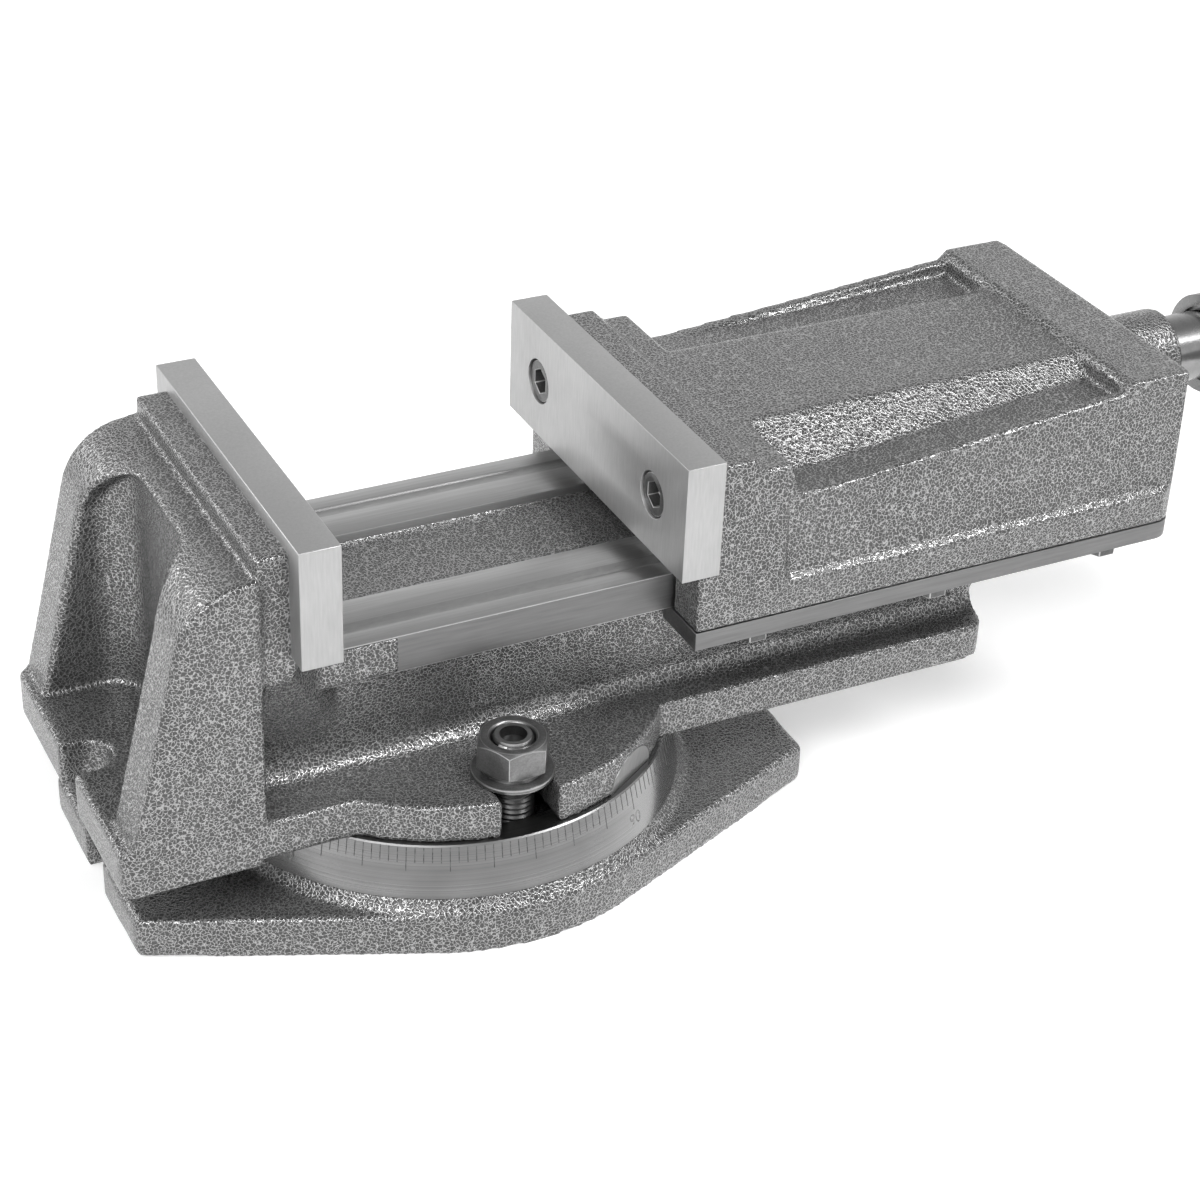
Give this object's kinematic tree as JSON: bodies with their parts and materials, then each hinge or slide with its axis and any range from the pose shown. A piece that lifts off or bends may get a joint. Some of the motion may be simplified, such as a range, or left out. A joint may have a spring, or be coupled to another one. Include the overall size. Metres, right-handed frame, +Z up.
{
  "type": "swivel machine vise",
  "caption": "Milling machine vise on a graduated swivel base, with a long screw-driven movable jaw, ground jaw plates and a cranked handle.",
  "frame": {"origin": "on the swivel axis, on the underside of the base", "axes": "+X along the ways from the fixed jaw to the crank, +Y across the jaws, +Z up along the swivel axis"},
  "size_m": [0.6566, 0.2385, 0.1835],
  "materials": {
    "paint": "grey hammered paint",
    "ground": "ground",
    "machined": "turned",
    "blacked": "black oxide",
    "keeper": "dark ground",
    "bronze": "machined bronze",
    "screw": "dark polished",
    "grip": "black moulded"
  },
  "bodies": {
    "base": {"swivel_base": "paint", "pivot_pin": "machined"},
    "bed": {"vise_body": "paint", "fixed_jaw_plate": "ground", "fixed_jaw_screws": "blacked", "swivel_bolts": "blacked", "swivel_washers": "blacked", "swivel_nuts": "blacked", "leadscrew_nut": "bronze", "leadscrew_nut_screws": "blacked"},
    "moving_jaw": {"movable_jaw": "paint", "movable_jaw_plate": "ground", "movable_jaw_screws": "blacked", "front_keeper": "keeper", "back_keeper": "keeper", "keeper_screws": "blacked", "screw_bush": "bronze", "thrust_pad": "machined"},
    "screw": {"leadscrew": "screw", "retaining_collar": "blacked", "collar_pin": "machined", "crank": "screw", "crank_setscrew": "blacked", "grip_spindle": "machined", "grip_washer": "machined"},
    "grip": {"crank_grip": "grip"}
  },
  "joints": [
    {"name": "swivel", "type": "hinge", "parent": "base", "child": "bed", "pos_m": [0, 0, 0.0455], "axis": [0, 0, 1], "continuous": true},
    {"name": "jaw_slide", "type": "slide", "parent": "bed", "child": "moving_jaw", "axis": [1, 0, 0], "range_m": [-0.14, 0.01]},
    {"name": "screw_turn", "type": "hinge", "parent": "moving_jaw", "child": "screw", "pos_m": [0.352, 0, 0.142], "axis": [1, 0, 0], "range_deg": [-8405, 605]},
    {"name": "grip_spin", "type": "hinge", "parent": "screw", "child": "grip", "pos_m": [0.45, -0.118, 0.142], "axis": [1, 0, 0], "continuous": true}
  ],
  "couplings": [
    {"joint": "screw_turn", "follows": "jaw_slide", "rad_per_m": 1047.2}
  ]
}
